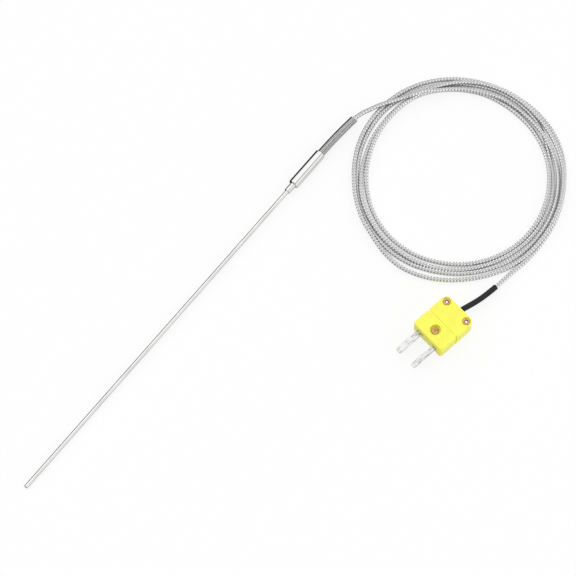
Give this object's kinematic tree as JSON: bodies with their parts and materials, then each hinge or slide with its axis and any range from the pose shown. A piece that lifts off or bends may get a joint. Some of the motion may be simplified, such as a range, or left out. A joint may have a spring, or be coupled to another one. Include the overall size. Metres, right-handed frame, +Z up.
{
  "type": "thermocouple probe",
  "caption": "Slim mineral-insulated temperature probe with a spring-relieved, steel-braided lead wound in a flat coil and a yellow flat-pin plug.",
  "frame": {"origin": "under the middle of the probe's own length, on the surface that it lies on", "axes": "+X along the probe from its tip towards the lead, +Z up from the surface, -Y towards the coil and the plug"},
  "size_m": [0.2364, 0.0892, 0.007],
  "materials": {
    "steel": "bright drawn stainless steel",
    "spring": "drawn spring steel wire",
    "braid": "woven stainless steel braid",
    "oxide": "packed powder",
    "alloy": "drawn nickel alloy wire",
    "resin": "cast resin",
    "shrink": "matt heat-shrunk sleeve",
    "nylon": "moulded glass-filled nylon, satin",
    "brass": "rolled copper-rich brass",
    "insulation": "woven glass fibre"
  },
  "bodies": {
    "root": {"sheath": "steel", "magnesia_core": "oxide", "positive_wire": "alloy", "negative_wire": "alloy", "measuring_junction": "alloy", "transition_sleeve": "steel", "sleeve_potting": "resin", "positive_splice": "brass", "negative_splice": "brass", "strain_relief_spring": "spring", "cable_lead_in": "braid", "cable_coil": "braid", "cable_lead_out": "braid", "heat_shrink": "shrink", "upper_shell": "nylon", "lower_shell": "nylon", "positive_pin": "steel", "negative_pin": "steel", "positive_lead": "insulation", "negative_lead": "insulation", "front_rivet": "brass", "rear_rivet_left": "brass", "rear_rivet_right": "brass"}
  },
  "joints": []
}
